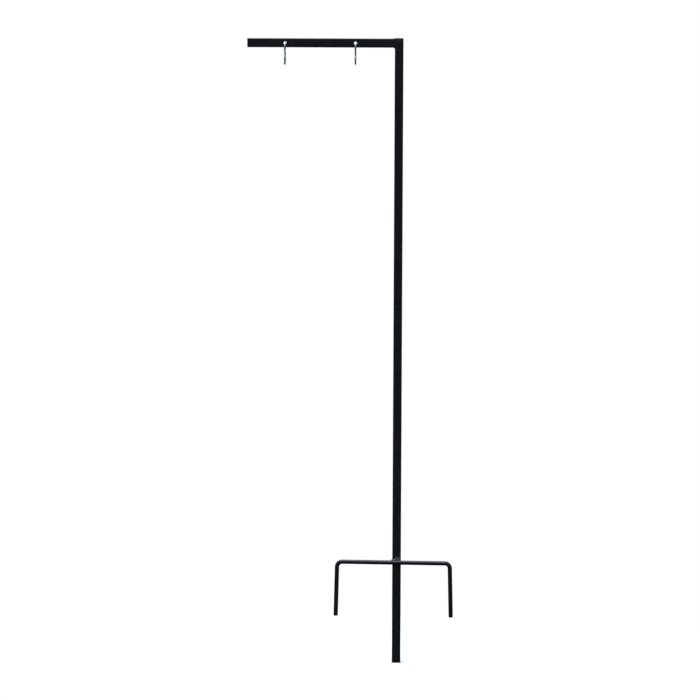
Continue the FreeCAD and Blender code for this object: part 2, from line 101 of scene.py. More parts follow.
class Nodes:
    """A short way to wire up a node tree: each call adds a node, sets its values and links its inputs.

    An input is named by its socket's name, with _ for a space, or by i and its number.
    """

    def __init__(self, tree):
        self.tree = tree

    def add(self, kind, settings=(), **inputs):
        node = self.tree.nodes.new(kind)
        for name, value in dict(settings).items():
            setattr(node, name, value)
        for name, value in inputs.items():
            key = int(name[1:]) if name[0] == "i" and name[1:].isdigit() else name.replace("_", " ")
            socket = node.inputs[key]
            if isinstance(value, bpy.types.NodeSocket):
                self.tree.links.new(value, socket)
            else:
                socket.default_value = value
        return node

    def math(self, operation, first, second=0.0, clamp=False):
        settings = {"operation": operation, "use_clamp": clamp}
        return self.add("ShaderNodeMath", settings, i0=first, i1=second).outputs[0]

    def noise(self, where, scale, detail=2.0, roughness=0.5):
        node = self.add("ShaderNodeTexNoise", Vector=where, Scale=scale, Detail=detail, Roughness=roughness)
        return node.outputs["Fac"]

    def span(self, value, low, high, out_low=0.0, out_high=1.0, smooth=False):
        settings = {"interpolation_type": "SMOOTHSTEP" if smooth else "LINEAR", "clamp": True}
        limits = {"i1": low, "i2": high, "i3": out_low, "i4": out_high}
        return self.add("ShaderNodeMapRange", settings, Value=value, **limits).outputs[0]

    def blend(self, amount, first, second):
        # The colour mixer takes its amount at input 0 and its two colours at 6 and 7.
        node = self.add("ShaderNodeMix", {"data_type": "RGBA", "clamp_factor": True}, i0=amount)
        for index, value in ((6, first), (7, second)):
            if isinstance(value, bpy.types.NodeSocket):
                self.tree.links.new(value, node.inputs[index])
            else:
                node.inputs[index].default_value = (*value, 1)
        return node.outputs[2]


def new_material(name):
    """An empty node material, with its node helper and its output."""
    material = bpy.data.materials.new(name)
    material.use_nodes = True
    material.node_tree.nodes.clear()
    nodes = Nodes(material.node_tree)
    return material, nodes, nodes.add("ShaderNodeOutputMaterial")


floor_material, nodes, output = new_material("pale_floor")
place = nodes.add("ShaderNodeTexCoord").outputs["Object"]
distance = nodes.add("ShaderNodeVectorMath", {"operation": "LENGTH"}, i0=place).outputs["Value"]
fade = nodes.span(distance, *(FLOOR_RADIUS * share for share in FLOOR_FADE), smooth=True)
matt = nodes.add("ShaderNodeBsdfDiffuse", Color=FLOOR_TONE).outputs[0]
clear = nodes.add("ShaderNodeBsdfTransparent").outputs[0]
faded = nodes.add("ShaderNodeMixShader", i0=fade, i1=matt, i2=clear).outputs[0]
nodes.tree.links.new(faded, output.inputs["Surface"])

floor_mesh = bpy.data.meshes.new("floor")
floor_shape = bmesh.new()
bmesh.ops.create_circle(floor_shape, cap_ends=True, segments=FLOOR_SIDES, radius=FLOOR_RADIUS)
floor_shape.to_mesh(floor_mesh)
floor_shape.free()
floor = bpy.data.objects.new("floor", floor_mesh)
floor.location = (0, 0, pole_low.z - FLOOR_DROP)
floor_mesh.materials.append(floor_material)
scene.collection.objects.link(floor)
floor.visible_diffuse = False
floor.visible_glossy = False

world = bpy.data.worlds.new("surround")
world.use_nodes = True
world.node_tree.nodes.clear()
nodes = Nodes(world.node_tree)
output = nodes.add("ShaderNodeOutputWorld")
direction = nodes.add("ShaderNodeTexCoord").outputs["Generated"]
height = nodes.add("ShaderNodeSeparateXYZ", Vector=direction).outputs["Z"]
sky = nodes.span(height, *SKY_SPAN, smooth=True)
room_tone = nodes.blend(sky, LEVEL_TONE, HIGH_TONE)
seen_direct = nodes.add("ShaderNodeLightPath").outputs["Is Camera Ray"]
tone = nodes.blend(seen_direct, room_tone, (1.0, 1.0, 1.0))
background = nodes.add("ShaderNodeBackground", Color=tone).outputs[0]
nodes.tree.links.new(background, output.inputs["Surface"])
scene.world = world


def soft_light(name, location, target, size, power):
    """A square area light of the given side in metres, turned to face a point."""
    data = bpy.data.lights.new(name, "AREA")
    data.size = size
    data.energy = power
    data.color = LIGHT_TONE
    light = bpy.data.objects.new(name, data)
    light.location = location
    light.rotation_euler = (Vector(target) - Vector(location)).to_track_quat("-Z", "Y").to_euler()
    light.visible_camera = False
    scene.collection.objects.link(light)


soft_light("overhead_light", location=(-0.6, -0.9, 7.5), target=(-0.1, 0.0, 0.6), size=5.5, power=560)

# ------------------------------------------------------------------------------------------------------
# Pole: 1 inch square steel tube with a thin wall and drawn round corners, saw-cut at both ends and
# deburred, then coated black.  It is the frame that everything else is welded to or hung from.
# ------------------------------------------------------------------------------------------------------
TUBE_WIDTH = pole_high.x - pole_low.x
TUBE_WALL = 0.00165
TUBE_CORNER = 0.0028
CORNER_STEPS = 10
FLAT_STEPS = 6
CUT_ROUND = 0.00025
RING_SPACING = 0.012
# The flats wave by this depth; the noise behind the waves moves on this fast along the tube and round it.
WAVE_DEPTH = 0.00009
WAVE_RATE = 9
WAVE_TURN = 0.6
# The tube's own weld seam, on the inside of one flat.
SEAM_HEIGHT = 0.0005
SEAM_WIDTH = 0.0006
# The angle in degrees between two faces at which a smooth surface breaks into an edge.
CREASE = 35.0

# Two shades of the coat; the pale film low down, which is dust and painted bounce light from the floor; the
# grey where the coat is rubbed through, also used for painted highlights; and its pale specks.
COAT_DEEP = (0.0030, 0.0032, 0.0036)
COAT_PALE = (0.0050, 0.0050, 0.0050)
DUST_AND_BOUNCE_TONE = (0.0200, 0.0190, 0.0175)
RUB_AND_GLINT_TONE = (0.075, 0.075, 0.078)
SPECK_TONE = (0.11, 0.11, 0.11)
DUST_AND_BOUNCE_TOP = 1.5
COAT_IOR = 1.48
SPECK_CELLS = 42.0
SPECK_RARITY = 0.90
SPECK_RADIUS = 0.055
# A painted highlight runs up the pole's front right corner from the first height up to the second, each
# with its fade, laid in as grey rub.
CORNER_GLINT_LOW = (0.70, 0.84)
CORNER_GLINT_HIGH = (1.46, 1.34)
CORNER_GLINT_REACH = 0.008


def black_coat(name, dust_and_bounce=1.0, wear_and_glint=1.0, lift=0.0):
    """Satin black coating: orange peel, faint mottling, specks, a pale film low down that is dust and
    painted bounce light, wear on the corners and a painted highlight strip on the pole's front right
    corner.

    lift lightens the whole coat: a little, as on weld metal, and a lot on the bar's upper bead, where it
    paints a highlight; the wear amount drives the grey rub marks, both wear and painted highlights, that
    show where the mesh's own "edge" value is high.
    """
    material, nodes, output = new_material(name)
    place = nodes.add("ShaderNodeTexCoord").outputs["Object"]
    broad = nodes.noise(place, 7.0, 3.0)
    cloud = nodes.noise(place, 60.0, 4.0, 0.6)
    peel = nodes.noise(place, 900.0, 1.0)
    grit = nodes.noise(place, 2600.0, 2.0)
    beside, before, height = nodes.add("ShaderNodeSeparateXYZ", Vector=place).outputs

    deep, pale = ([part + lift for part in tone] for tone in (COAT_DEEP, COAT_PALE))
    coat = nodes.blend(cloud, deep, pale)
    # Painted bounce light, with dust: a pale film that thickens towards the bottom and lightens the coat
    # low down.
    low_down = nodes.span(height, DUST_AND_BOUNCE_TOP, 0.0, 0.12 * dust_and_bounce, 0.62 * dust_and_bounce)
    dust_and_bounce_film = nodes.math("MULTIPLY", low_down, nodes.span(broad, 0.35, 0.75, 0.55, 1.0))
    with_dust_and_bounce = nodes.blend(dust_and_bounce_film, coat, DUST_AND_BOUNCE_TONE)

    edge = nodes.add("ShaderNodeAttribute", {"attribute_name": "edge"}).outputs["Fac"]
    rub_noise = nodes.noise(place, 130.0, 5.0, 0.7)
    rub_and_glint_patch = nodes.span(nodes.noise(place, 9.0, 2.0), 0.48, 0.66)
    rub_and_glint = nodes.span(rub_noise, 0.52, 0.66)
    # Painted highlight: grey rub laid along the pole's front right corner between these heights, where the
    # rounded corner catches the light.
    corner_glint = nodes.math("MULTIPLY", nodes.span(height, *CORNER_GLINT_LOW), nodes.span(height, *CORNER_GLINT_HIGH))
    corner_glint = nodes.math("MULTIPLY", corner_glint, nodes.math("GREATER_THAN", beside, CORNER_GLINT_REACH))
    corner_glint = nodes.math("MULTIPLY", corner_glint, nodes.math("LESS_THAN", before, -CORNER_GLINT_REACH))
    rub_and_glint_patch = nodes.math("MAXIMUM", rub_and_glint_patch, nodes.math("MULTIPLY", corner_glint, 0.9))
    rub_and_glint = nodes.math("MAXIMUM", rub_and_glint, nodes.math("MULTIPLY", corner_glint, 0.35))
    rub_and_glint = nodes.math("MULTIPLY", nodes.math("MULTIPLY", rub_and_glint, rub_and_glint_patch), edge)
    rub_and_glint = nodes.math("MULTIPLY", rub_and_glint, 0.55 * wear_and_glint, clamp=True)
    rubbed_and_glinting = nodes.blend(rub_and_glint, with_dust_and_bounce, RUB_AND_GLINT_TONE)

    cells = nodes.add("ShaderNodeTexVoronoi", {"feature": "F1"}, Vector=place, Scale=SPECK_CELLS)
    chance = nodes.add("ShaderNodeSeparateColor", Color=cells.outputs["Color"]).outputs[0]
    rare = nodes.math("GREATER_THAN", chance, SPECK_RARITY)
    dot = nodes.math("LESS_THAN", cells.outputs["Distance"], SPECK_RADIUS)
    speck = nodes.math("MULTIPLY", rare, dot)
    speckled = nodes.blend(nodes.math("MULTIPLY", speck, 0.7), rubbed_and_glinting, SPECK_TONE)

    gloss = nodes.span(cloud, 0.3, 0.7, 0.27, 0.36)
    gloss = nodes.math("ADD", gloss, nodes.math("MULTIPLY", dust_and_bounce_film, 0.12))
    peel_bump = nodes.add("ShaderNodeBump", Strength=0.22, Distance=0.00025, Height=peel).outputs[0]
    fine_bump = nodes.add(
        "ShaderNodeBump", Strength=0.10, Distance=0.00008, Height=grit, Normal=peel_bump
    ).outputs[0]
    shader = nodes.add(
        "ShaderNodeBsdfPrincipled", Base_Color=speckled, Roughness=gloss, Normal=fine_bump
    )
    shader.inputs["IOR"].default_value = COAT_IOR
    nodes.tree.links.new(shader.outputs[0], output.inputs["Surface"])
    return material


def finish_piece(name, shape, material, body, slot, *nodes_replaced, sharp=CREASE):
    """Turns a bmesh into a piece: smooth faces with sharp creases, its material, body and nodes; slot is
    not used.
    """
    mesh = bpy.data.meshes.new(name)
    bmesh.ops.recalc_face_normals(shape, faces=shape.faces)
    shape.to_mesh(mesh)
    shape.free()
    mesh.shade_smooth()
    mesh.set_sharp_from_angle(angle=math.radians(sharp))
    mesh.materials.append(material)
    piece = bpy.data.objects.new(name, mesh)
    scene.collection.objects.link(piece)
    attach(piece, body)
    if nodes_replaced:
        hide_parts(*nodes_replaced)
    return piece


def join_rings(shape, rings, ends=False):
    """Skins a row of closed rings of points with faces, and closes its two ends if asked."""
    count = len(rings[0])
    for low, high in zip(rings, rings[1:]):
        for index in range(count):
            following = (index + 1) % count
            shape.faces.new((low[index], low[following], high[following], high[index]))
    if ends:
        shape.faces.new(rings[0])
        shape.faces.new(rings[-1])


def tube_section(width, corner, inside_seam=0.0):
    """Points round a square with round corners, anticlockwise, each with how far it lies on a corner."""
    points = []
    flat = width / 2 - corner
    for quarter in range(4):
        turn = Matrix.Rotation(quarter * math.pi / 2, 2)
        for step in range(1, FLAT_STEPS):
            share = step / FLAT_STEPS
            off_middle = (share - 0.5) * 2 * flat
            seam = inside_seam * math.exp(-(off_middle / SEAM_WIDTH) ** 2) if quarter == 1 else 0
            points.append((turn @ Vector((width / 2 - seam, -flat + 2 * flat * share)), 0.0))
        for step in range(CORNER_STEPS + 1):
            angle = step / CORNER_STEPS * math.pi / 2
            rounding = corner * Vector((math.cos(angle), math.sin(angle)))
            points.append((turn @ (Vector((flat, flat)) + rounding), math.sin(2 * angle)))
    return points


def square_tube(length, seed):
    """A hollow square tube along +Z from its own origin, with slightly wavy flats and softened cut ends."""
    shape = bmesh.new()
    edge = shape.verts.layers.float.new("edge")
    outer = tube_section(TUBE_WIDTH, TUBE_CORNER)
    inner = tube_section(TUBE_WIDTH - 2 * TUBE_WALL, TUBE_CORNER - TUBE_WALL, SEAM_HEIGHT)
    rings = max(2, round(length / RING_SPACING))
    heights = [length * step / rings for step in range(rings + 1)]
    stations = [(0.0, CUT_ROUND), (CUT_ROUND * 0.3, CUT_ROUND * 0.3), (CUT_ROUND, 0.0)]
    stations += [(height, 0.0) for height in heights[1:-1]]
    stations += [(length - height, inset) for height, inset in reversed(stations[:3])]

    def ring(points, height, inset, side):
        verts = []
        for point, on_corner in points:
            out = point.normalized()
            turn = round(math.atan2(point.y, point.x), 1)
            sway = noise.noise(Vector((height * WAVE_RATE, seed, turn * WAVE_TURN)))
            place = point - out * (inset * side + WAVE_DEPTH * (0.5 + 0.5 * sway) * (1 - on_corner))
            vert = shape.verts.new((place.x, place.y, height))
            vert[edge] = on_corner if side > 0 else 0.0
            verts.append(vert)
        return verts

    outside = [ring(outer, height, inset, 1) for height, inset in stations]
    inside = [ring(inner, height, inset, -1) for height, inset in stations]
    for skin in (outside, inside, (outside[0], inside[0]), (outside[-1], inside[-1])):
        join_rings(shape, skin)
    return shape


tube_coat = black_coat("black_coat_tube")
pole_shape = square_tube(pole_high.z - pole_low.z, seed=3.0)
bmesh.ops.translate(pole_shape, verts=pole_shape.verts, vec=(0, 0, pole_low.z))
finish_piece("pole", pole_shape, tube_coat, "frame", "black_coat", "pole_tube")

# ------------------------------------------------------------------------------------------------------
# Arm: the same square tube, butt-welded to the pole's side with its top level with the pole's end.  Two
# holes are drilled through it from front to back for the hooks, with lightly deburred rims.
# ------------------------------------------------------------------------------------------------------
HOLE_RADIUS = 0.004872
HOLE_SIDES = 56
RIM_CHAMFER = 0.0004
BIT_OVERRUN = 0.002
HOOKS = ("outer", "inner")

arm_low, arm_high = (Vector(corner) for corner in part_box("arm_tube"))
arm_level = (arm_low.z + arm_high.z) / 2
hook_axes = {joint["child"]: Vector(joint["pos_m"]) for joint in frame["joints"]}

arm_shape = square_tube(arm_high.x - arm_low.x, seed=11.0)
lay_down = Matrix.Rotation(math.pi / 2, 4, "Y")
bmesh.ops.transform(arm_shape, verts=arm_shape.verts, matrix=lay_down)
bmesh.ops.translate(arm_shape, verts=arm_shape.verts, vec=(arm_low.x, 0, arm_level))
arm = finish_piece("arm", arm_shape, tube_coat, "frame", "black_coat", "arm_tube")


def drill_bit(x):
    """A cutter through the arm, flared at each outside face so that it leaves a chamfered rim."""
    half = TUBE_WIDTH / 2
    wider = HOLE_RADIUS + RIM_CHAMFER
    profile = [(-half - BIT_OVERRUN, wider), (-half, wider), (-half + RIM_CHAMFER, HOLE_RADIUS)]
    profile += [(-y, radius) for y, radius in reversed(profile)]
    angles = [2 * math.pi * step / HOLE_SIDES for step in range(HOLE_SIDES)]
    around = [(math.cos(angle), math.sin(angle)) for angle in angles]
    shape = bmesh.new()
    rings = [
        [shape.verts.new((x + radius * across, y, arm_level + radius * up)) for across, up in around]
        for y, radius in profile
    ]
    join_rings(shape, rings, ends=True)
    bmesh.ops.recalc_face_normals(shape, faces=shape.faces)
    mesh = bpy.data.meshes.new("drill_bit")
    shape.to_mesh(mesh)
    shape.free()
    bit = bpy.data.objects.new("drill_bit", mesh)
    scene.collection.objects.link(bit)
    return bit


def apply_modifiers(piece):
    """Makes a piece's modifiers part of its mesh."""
    depsgraph = bpy.context.evaluated_depsgraph_get()
    evaluated = piece.evaluated_get(depsgraph)
    made = bpy.data.meshes.new_from_object(evaluated, preserve_all_data_layers=True, depsgraph=depsgraph)
    piece.modifiers.clear()
    piece.data = made


for hook in HOOKS:
    bit = drill_bit(hook_axes[f"{hook}_hook"].x)
    cut = arm.modifiers.new("drilled", "BOOLEAN")
    cut.operation = "DIFFERENCE"
    cut.solver = "EXACT"
    cut.object = bit
    apply_modifiers(arm)
    bpy.data.objects.remove(bit)
arm.data.set_sharp_from_angle(angle=math.radians(CREASE))

# ------------------------------------------------------------------------------------------------------
# End plugs: moulded black plastic, pushed into the pole's top and the arm's free end; only their thin
# lips show.
# ------------------------------------------------------------------------------------------------------
PLASTIC_DEEP = (0.0085, 0.0085, 0.009)
PLASTIC_PALE = (0.014, 0.014, 0.0145)

plastic, nodes, output = new_material("black_plastic_plug")
place = nodes.add("ShaderNodeTexCoord").outputs["Object"]
cloud = nodes.noise(place, 300.0, 3.0)
grain = nodes.noise(place, 3500.0, 2.0)
tone = nodes.blend(cloud, PLASTIC_DEEP, PLASTIC_PALE)
grain_bump = nodes.add("ShaderNodeBump", Strength=0.25, Distance=0.00008, Height=grain).outputs[0]
gloss = nodes.span(cloud, 0.3, 0.7, 0.46, 0.58)
shader = nodes.add("ShaderNodeBsdfPrincipled", Base_Color=tone, Roughness=gloss, Normal=grain_bump)
nodes.tree.links.new(shader.outputs[0], output.inputs["Surface"])
for plug in ("pole_top_plug", "arm_end_plug"):
    for material_slot in frame["nodes"][plug].material_slots:
        material_slot.material = plastic

# ------------------------------------------------------------------------------------------------------
# Arm joint: weld metal round the seam, dressed down on the front and back faces to a low pad with soft
# rims, left as a rounded fillet under the arm, and run flat across the top.  All of it is coated black.
# ------------------------------------------------------------------------------------------------------
WELD_VOXEL = 0.00032
# The bumps on weld metal, broad and fine: how fast the noise behind them moves on, per metre.
BROAD_RIPPLE = 900
FINE_RIPPLE = 2300


def blob_chain(name, blobs, ripple=0.0, seed=0.0, smooth=3):
    """Melts a row of overlapping lumps (centre, radii, tilt) into one skin of weld metal."""
    shape = bmesh.new()
    for centre, radii, tilt in blobs:
        fit = Matrix.Translation(centre) @ Matrix.Rotation(tilt, 4, "Y") @ Matrix.Diagonal((*radii, 1))
        bmesh.ops.create_icosphere(shape, subdivisions=3, radius=1.0, matrix=fit)
    mesh = bpy.data.meshes.new(name)
    shape.to_mesh(mesh)
    shape.free()
    lump = bpy.data.objects.new(name, mesh)
    scene.collection.objects.link(lump)
    remesh = lump.modifiers.new("melt", "REMESH")
    remesh.mode = "VOXEL"
    remesh.voxel_size = WELD_VOXEL
    soften = lump.modifiers.new("soften", "SMOOTH")
    soften.factor = 0.5
    soften.iterations = smooth
    apply_modifiers(lump)
    skin = bmesh.new()
    skin.from_mesh(lump.data)
    bpy.data.objects.remove(lump)
    skin.normal_update()
    if ripple:
        for vert in skin.verts:
            rough = noise.noise(vert.co * BROAD_RIPPLE + Vector((seed, 0, 0)))
            rough += 0.5 * noise.noise(vert.co * FINE_RIPPLE)
            vert.co += vert.normal * ripple * rough
    return skin


def mark_edges(shape, value):
    """Gives each point of a piece its rub value: wear, and on the bar's upper bead a painted highlight."""
    layer = shape.verts.layers.float.new("edge")
    for vert in shape.verts:
        vert[layer] = value(vert)


# The pad reaches this far onto the arm and onto the pole, rises this far, and runs past the flats.
PAD_ON_ARM = 0.0082
PAD_ON_POLE = 0.0072
PAD_RISE = 0.00055
PAD_OVERRUN = 0.0012
PAD_SINK = 0.0002
# Across the pad, from the arm to the pole: middle and width of its two rims and of the hollow between.
ARM_RIM = (0.14, 0.09)
POLE_RIM = (0.80, 0.10)
HOLLOW = (0.47, 0.16)
half_tube = TUBE_WIDTH / 2
half_flat = half_tube - TUBE_CORNER


def swelling(share, middle, width):
    """A smooth rise to 1 at its middle."""
    return math.exp(-(((share - middle) / width) ** 2))


def dressed_pad(side):
    """A low weld pad on the front (side -1) or back (side +1) face, bowed out towards the pole."""
    columns, rows = 40, 44
    shape = bmesh.new()
    layer = shape.verts.layers.float.new("edge")
    grid = []
    for row in range(rows + 1):
        up = -1 + 2 * row / rows
        bow = 1 - up * up
        left = -half_tube - PAD_ON_ARM * (0.72 + 0.28 * bow)
        right = -half_tube + PAD_ON_POLE * (0.42 + 0.58 * bow)
        line = []
        for column in range(columns + 1):
            share = column / columns
            across = 2 * share - 1
            ends = (1 - abs(across) ** 6) * (1 - abs(up) ** 10)
            rims = swelling(share, *POLE_RIM) + 0.55 * swelling(share, *ARM_RIM)
            hollow = -0.45 * swelling(share, *HOLLOW)
            x = left + (right - left) * share
            z = arm_level + up * (half_flat + PAD_OVERRUN)
            rough = 0.16 * noise.noise(Vector((x * 420, z * 300, side * 3.0)))
            rise = PAD_RISE * ends * (0.42 + 0.62 * rims + hollow + rough)
            vert = shape.verts.new((x, side * (half_tube - PAD_SINK + max(rise, 0.0)), z))
            vert[layer] = min(1.0, 0.9 * rims)
            line.append(vert)
        grid.append(line)
    inner = side * (half_flat + 0.0004)
    back = [[shape.verts.new((vert.co.x, inner, vert.co.z)) for vert in line] for line in grid]
    for sheet in (grid, back):
        for low, high in zip(sheet, sheet[1:]):
            for index in range(columns):
                shape.faces.new((low[index], low[index + 1], high[index + 1], high[index]))
    rim = [(0, column) for column in range(columns)] + [(row, columns) for row in range(rows)]
    rim += [(rows, column) for column in range(columns, 0, -1)] + [(row, 0) for row in range(rows, 0, -1)]
    for (row, column), (next_row, next_column) in zip(rim, rim[1:] + rim[:1]):
        front_a, front_b = grid[row][column], grid[next_row][next_column]
        back_a, back_b = back[row][column], back[next_row][next_column]
        shape.faces.new((front_a, front_b, back_b, back_a))
    return shape


weld_coat = black_coat("black_coat_weld", dust_and_bounce=0.3, wear_and_glint=1.6, lift=0.002)
for side, name in ((-1, "arm_joint_front_weld"), (1, "arm_joint_back_weld")):
    finish_piece(f"{name}_metal", dressed_pad(side), weld_coat, "frame", "coated_weld", name, sharp=60)

# Steps along each bead, the size of its lumps, and how far its line lies off the seam and under the top.
FILLET_LUMPS = 16
FILLET_RADIUS = 0.0024
FILLET_OFFSET = 0.0003
TOP_LUMPS = 18
TOP_OFFSET = 0.0034
TOP_SINK = 0.0008
TOP_RADII = (0.0038, 0.0022, 0.0015)

fillet_blobs = []
for step in range(FILLET_LUMPS + 1):
    y = -half_flat + 2 * half_flat * step / FILLET_LUMPS
    radius = FILLET_RADIUS * (1 + 0.08 * math.sin(step * 1.9))
    centre = Vector((-half_tube - FILLET_OFFSET, y, arm_low.z - FILLET_OFFSET))
    fillet_blobs.append((centre, (radius, 0.0022, radius), 0.0))
fillet = blob_chain("under_arm", fillet_blobs, ripple=0.00008, seed=4.0)
mark_edges(fillet, lambda vert: 0.5)
finish_piece(
    "arm_joint_bottom_weld_metal", fillet, weld_coat, "frame", "coated_weld", "arm_joint_bottom_weld"
)

top_blobs = []
for step in range(TOP_LUMPS + 1):
    y = -half_flat + 2 * half_flat * step / TOP_LUMPS
    x = -half_tube - TOP_OFFSET + 0.0003 * math.sin(step * 1.7)
    top_blobs.append((Vector((x, y, arm_high.z - TOP_SINK)), TOP_RADII, 0.0))
top_bead = blob_chain("over_arm", top_blobs, ripple=0.00006, seed=9.0)
mark_edges(top_bead, lambda vert: 0.4)
finish_piece("arm_joint_top_weld_metal", top_bead, weld_coat, "frame", "coated_weld", "arm_joint_top_weld")

# ------------------------------------------------------------------------------------------------------
# Step bar: 1/2 inch round bar, bent cold to a U whose legs lean out a little, welded across the pole's
# front face with its left side a touch high.  Saw-cut legs with chamfered ends.
# ------------------------------------------------------------------------------------------------------
BAR_RADIUS = 0.00635
BEND_RADIUS = 0.015
BAR_TILT = math.radians(0.6)
LEG_LENGTH = 0.1588
LEG_CHAMFER = 0.0016
CHAMFER_ROUND = 0.0001
# Rings across each sawn end, as shares of the end's radius.
END_RINGS = (0.45, 0.92)
# In the bends the bar swells this much in the plane of the U, and thins this much across it.
BEND_SWELL = 0.006
BEND_THIN = 0.03
BAR_SIDES = 48
BAR_STEPS = 22
BEND_STEPS = 24
LEG_STEPS = 20
# A painted highlight lies on the bar's top near its left bend, here and over this width, laid in as grey
# rub on the coat.
BAR_GLINT_PLACE = -0.138
BAR_GLINT_WIDTH = 0.011
# Each leg's side, reach from the pole's axis, and lean outwards.
LEGS = ((-1, 0.1742, math.radians(0.75)), (1, 0.1560, math.radians(1.95)))

bar_low, bar_high = (Vector(corner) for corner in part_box("step_bar"))
bar_middle = Vector((0, (bar_low.y + bar_high.y) / 2, 0.2953))


def bar_path():
    """Stations along the bar from the left leg's end to the right one's: point, direction, bend share."""
    halves = []
    for sign, reach, splay in LEGS:
        turn = math.pi / 2 - splay
        setback = BEND_RADIUS * math.tan(turn / 2)
        half = []
        straight = reach - setback
        for step in range(BAR_STEPS + 1):
            half.append((Vector((sign * straight * step / BAR_STEPS, 0)), Vector((sign, 0)), 0.0))
        for step in range(1, BEND_STEPS + 1):
            angle = turn * step / BEND_STEPS
            across = straight + BEND_RADIUS * math.sin(angle)
            point = Vector((sign * across, -BEND_RADIUS * (1 - math.cos(angle))))
            heading = Vector((sign * math.cos(angle), -math.sin(angle)))
            half.append((point, heading, math.sin(math.pi * step / BEND_STEPS)))
        end, heading, _ = half[-1]
        run = LEG_LENGTH - setback
        for step in range(1, LEG_STEPS + 1):
            half.append((end + heading * run * step / LEG_STEPS, heading, 0.0))
        halves.append(half)
    left = [(point, -heading, bend) for point, heading, bend in reversed(halves[0])]
    return left[:-1] + halves[1]


def round_bar():
    """The bent bar as one skin: slightly oval in the bends, with chamfered ends."""
    shape = bmesh.new()
    edge = shape.verts.layers.float.new("edge")
    stations = bar_path()
    lean = Matrix.Rotation(BAR_TILT, 2).inverted()
    rings = []

    def ring(point, heading, radius, bend):
        side = Vector((-heading.y, heading.x))
        verts = []
        for step in range(BAR_SIDES):
            angle = 2 * math.pi * step / BAR_SIDES
            in_plane = radius * math.cos(angle) * (1 + BEND_SWELL * bend)
            depth = radius * math.sin(angle) * (1 - BEND_THIN * bend)
            spot = lean @ (point + side * in_plane)
            vert = shape.verts.new((bar_middle.x + spot.x, bar_middle.y + depth, bar_middle.z + spot.y))
            # Painted highlight: the top of the bar near the left bend gets a high rub value, so its coat
            # greys there; the rub in the bends is wear.
            bar_glint = swelling(point.x, BAR_GLINT_PLACE, BAR_GLINT_WIDTH) * max(spot.y, 0) / radius
            vert[edge] = 0.35 + 0.4 * bend + 1.2 * bar_glint
            verts.append(vert)
        rings.append(verts)

    first, first_heading, _ = stations[0]
    last, last_heading, _ = stations[-1]
    face = BAR_RADIUS - LEG_CHAMFER
    for share in END_RINGS:
        ring(first, first_heading, face * share, 0)
    ring(first + first_heading * CHAMFER_ROUND, first_heading, face, 0)
    ring(first + first_heading * LEG_CHAMFER, first_heading, BAR_RADIUS - CHAMFER_ROUND, 0)
    for point, heading, bend in stations[1:-1]:
        ring(point, heading, BAR_RADIUS, bend)
    ring(last - last_heading * LEG_CHAMFER, last_heading, BAR_RADIUS - CHAMFER_ROUND, 0)
    ring(last - last_heading * CHAMFER_ROUND, last_heading, face, 0)
    for share in reversed(END_RINGS):
        ring(last, last_heading, face * share, 0)
    join_rings(shape, rings, ends=True)
    return shape


bar_coat = black_coat("black_coat_bar", dust_and_bounce=0.8, wear_and_glint=0.8, lift=0.001)
finish_piece("step_bar_metal", round_bar(), bar_coat, "frame", "black_coat", "step_bar", sharp=30)

# ------------------------------------------------------------------------------------------------------
# Step bar welds: a heavy, lumpy hand-laid bead in the groove over the bar, which runs past the pole's
# left corner, and a thin one under the bar.  Coated with the rest; the upper bead's coat is painted lighter
# all over and greyer on its high spots, as painted highlight.
# ------------------------------------------------------------------------------------------------------
front_face = -half_tube
bar_top = bar_middle.z + BAR_RADIUS
# Along the seam: place from the pole's axis, height over the bar's top, width along, height, depth.
UPPER_LUMPS = (
    (-0.0142, -0.0006, 0.0026, 0.0030, 0.0036),
    (-0.0122, 0.0000, 0.0030, 0.0034, 0.0040),
    (-0.0098, 0.0004, 0.0032, 0.0037, 0.0043),
    (-0.0072, 0.0008, 0.0031, 0.0038, 0.0045),
    (-0.0046, 0.0008, 0.0032, 0.0042, 0.0046),
    (-0.0020, 0.0014, 0.0032, 0.0046, 0.0046),
    (-0.0006, 0.0044, 0.0024, 0.0054, 0.0040),
    (0.0022, 0.0010, 0.0032, 0.0044, 0.0047),
    (0.0048, 0.0014, 0.0030, 0.0044, 0.0046),
    (0.0070, 0.0040, 0.0028, 0.0054, 0.0040),
    (0.0088, 0.0004, 0.0022, 0.0040, 0.0040),
)
UPPER_PROUD = 0.0012
# The first lump leans this far, in radians, and each following one less, as the rod turned.
UPPER_LEAN = 0.35
UPPER_LEAN_STEP = 0.08
# The coat on the lumps greys from this height over the bar's top, fully so after the span: a painted
# highlight on the high spots, where the overhead light falls.
BEAD_GLINT_FROM = 0.0015
BEAD_GLINT_SPAN = 0.003
LOWER_LUMPS = 15
LOWER_START = -0.0125
LOWER_PITCH = 0.00155
LOWER_PROUD = 0.0006
LOWER_DROP = 0.0046
LOWER_LEAN = -0.3

upper_blobs = []
for index, (x, rise, along, tall, deep) in enumerate(UPPER_LUMPS):
    drop = -x * math.tan(BAR_TILT)
    centre = Vector((x, front_face - UPPER_PROUD, bar_top + rise + drop))
    upper_blobs.append((centre, (along, deep, tall), UPPER_LEAN - UPPER_LEAN_STEP * index))
upper_bead = blob_chain("upper_bead", upper_blobs, ripple=0.00016, seed=2.0, smooth=5)
mark_edges(upper_bead, lambda vert: min(1.0, max(0.0, (vert.co.z - bar_top - BEAD_GLINT_FROM) / BEAD_GLINT_SPAN)))
# Painted highlight: a much lighter coat with strong rub on the upper bead, greyest on its high spots.
bead_glint_coat = black_coat("black_coat_bead", dust_and_bounce=0.6, wear_and_glint=5.0, lift=0.065)
finish_piece(
    "step_bar_upper_weld_metal",
    upper_bead,
    bead_glint_coat,
    "frame",
    "coated_weld",
    "step_bar_upper_weld",
    sharp=80,
)

